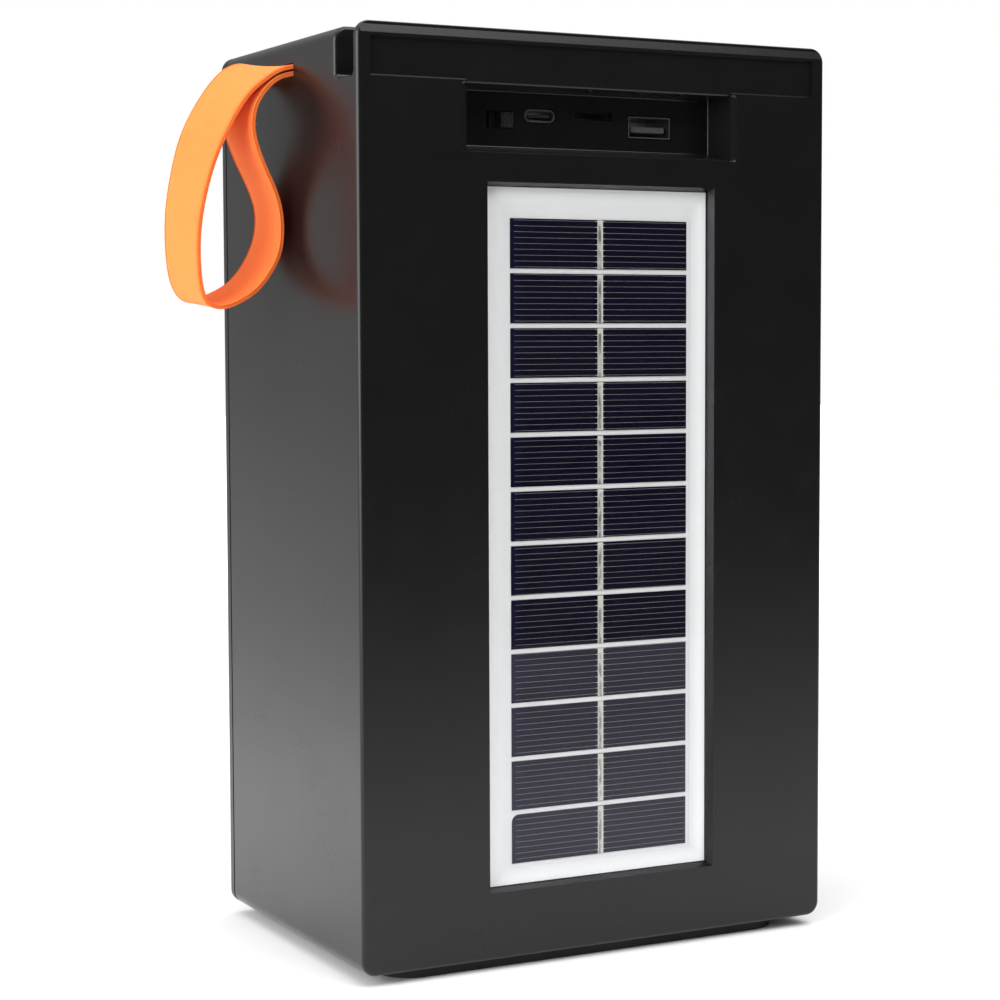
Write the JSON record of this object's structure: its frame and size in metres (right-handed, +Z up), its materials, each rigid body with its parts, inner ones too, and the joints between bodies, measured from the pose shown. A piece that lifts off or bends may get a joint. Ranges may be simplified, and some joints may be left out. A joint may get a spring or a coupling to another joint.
{
  "type": "portable solar speaker",
  "caption": "Upright portable speaker with a solar panel and port bay on the back, a phone groove in the top, press keys, a front grille and a carry strap.",
  "frame": {"origin": "centre of the base pad's underside, on the surface that the speaker stands on", "axes": "+Z up; -Y out of the rear face with the solar panel and ports, +Y out of the grille; +X to the right when looking at the solar panel, so the strap is at -X"},
  "size_m": [0.1689, 0.093, 0.2438],
  "materials": {
    "shell_plastic": "satin moulded, fine texture",
    "front_plastic": "satin moulded",
    "pad_rubber": "matt",
    "grille_paint": "satin black powder coat",
    "panel_cover": "clear, glossy",
    "cell_silicon": "dark blue with fine printed lines",
    "tinned_ribbon": "tinned, mottled",
    "panel_white": "white backing board",
    "foam": "closed-cell foam",
    "board_green": "green solder mask",
    "chip_black": "moulded package",
    "can_aluminium": "drawn can with sleeve",
    "socket_steel": "nickel-plated sheet",
    "socket_plastic": "moulded insulator",
    "tongue_plastic": "pale moulded insulator",
    "knob_plastic": "moulded, ridged",
    "key_plastic": "satin moulded",
    "mat_rubber": "translucent grey silicone",
    "cell_wrap": "heat-shrunk sleeve",
    "cradle_plastic": "moulded",
    "nickel": "spot-welded strip",
    "strap_webbing": "orange flat webbing",
    "screw_zinc": "zinc-plated",
    "wire_red": "insulated wire",
    "wire_black": "insulated wire",
    "basket_steel": "stamped and painted",
    "motor_steel": "zinc-plated",
    "ferrite": "ferrite ring",
    "coil_copper": "enamelled copper on a former",
    "spider_cloth": "impregnated cloth",
    "cone_paper": "pressed paper pulp",
    "surround_rubber": "satin"
  },
  "bodies": {
    "housing": {"baffle_screws": "screw_zinc", "baffle_seal": "foam", "base_pad": "pad_rubber", "battery_cells": "cell_wrap", "battery_cradle": "cradle_plastic", "battery_leads": "wire_red", "battery_tabs": "nickel", "board_capacitors": "can_aluminium", "board_chips": "chip_black", "card_socket": "socket_steel", "driver_gaskets": "foam", "driver_leads": "wire_black", "driver_screws": "screw_zinc", "front_baffle": "front_plastic", "grille": "grille_paint", "grille_rim": "grille_paint", "key_board": "board_green", "key_mat": "mat_rubber", "lower_basket": "basket_steel", "lower_magnet": "ferrite", "lower_pole_plate": "motor_steel", "lower_spider": "spider_cloth", "lower_surround": "surround_rubber", "lower_yoke": "motor_steel", "main_board": "board_green", "rear_shell": "shell_plastic", "small_screws": "screw_zinc", "solar_backing": "panel_white", "solar_cells": "cell_silicon", "solar_cover": "panel_cover", "solar_leads": "wire_red", "solar_ribbons": "tinned_ribbon", "solar_tape": "foam", "strap_clamp": "cradle_plastic", "strap_root": "strap_webbing", "switch_frame": "socket_steel", "upper_basket": "basket_steel", "upper_magnet": "ferrite", "upper_pole_plate": "motor_steel", "upper_spider": "spider_cloth", "upper_surround": "surround_rubber", "upper_yoke": "motor_steel", "usb_a_shell": "socket_steel", "usb_a_tongue": "tongue_plastic", "usb_c_shell": "socket_steel", "usb_c_tongue": "socket_plastic"},
    "slider": {"switch_knob": "knob_plastic"},
    "strap": {"strap_loop": "strap_webbing"},
    "key_mode": {"key_mode": "key_plastic"},
    "key_volume_down": {"key_volume_down": "key_plastic"},
    "key_play": {"key_play": "key_plastic"},
    "key_volume_up": {"key_volume_up": "key_plastic"},
    "key_power": {"key_power": "key_plastic"},
    "lower_diaphragm": {"lower_cone": "cone_paper", "lower_dust_cap": "cone_paper", "lower_voice_coil": "coil_copper"},
    "upper_diaphragm": {"upper_cone": "cone_paper", "upper_dust_cap": "cone_paper", "upper_voice_coil": "coil_copper"}
  },
  "joints": [
    {"name": "switch_slide", "type": "slide", "parent": "housing", "child": "slider", "axis": [-1, 0, 0], "range_m": [0, 0.0036]},
    {"name": "strap_swing", "type": "hinge", "parent": "housing", "child": "strap", "pos_m": [-0.0726, 0.00465, 0.2347], "axis": [0, 1, 0], "range_deg": [0, 100]},
    {"name": "key_mode_press", "type": "slide", "parent": "housing", "child": "key_mode", "axis": [0, 0, -1], "range_m": [0, 0.001], "stiffness_N_per_m": 400, "deforming": ["key_mat"]},
    {"name": "key_volume_down_press", "type": "slide", "parent": "housing", "child": "key_volume_down", "axis": [0, 0, -1], "range_m": [0, 0.001], "stiffness_N_per_m": 400, "deforming": ["key_mat"]},
    {"name": "key_play_press", "type": "slide", "parent": "housing", "child": "key_play", "axis": [0, 0, -1], "range_m": [0, 0.001], "stiffness_N_per_m": 400, "deforming": ["key_mat"]},
    {"name": "key_volume_up_press", "type": "slide", "parent": "housing", "child": "key_volume_up", "axis": [0, 0, -1], "range_m": [0, 0.001], "stiffness_N_per_m": 400, "deforming": ["key_mat"]},
    {"name": "key_power_press", "type": "slide", "parent": "housing", "child": "key_power", "axis": [0, 0, -1], "range_m": [0, 0.001], "stiffness_N_per_m": 400, "deforming": ["key_mat"]},
    {"name": "lower_diaphragm_travel", "type": "slide", "parent": "housing", "child": "lower_diaphragm", "axis": [0, 1, 0], "range_m": [-0.0025, 0.0025], "stiffness_N_per_m": 1600, "deforming": ["lower_surround", "lower_spider"]},
    {"name": "upper_diaphragm_travel", "type": "slide", "parent": "housing", "child": "upper_diaphragm", "axis": [0, 1, 0], "range_m": [-0.0025, 0.0025], "stiffness_N_per_m": 1600, "deforming": ["upper_surround", "upper_spider"]}
  ]
}
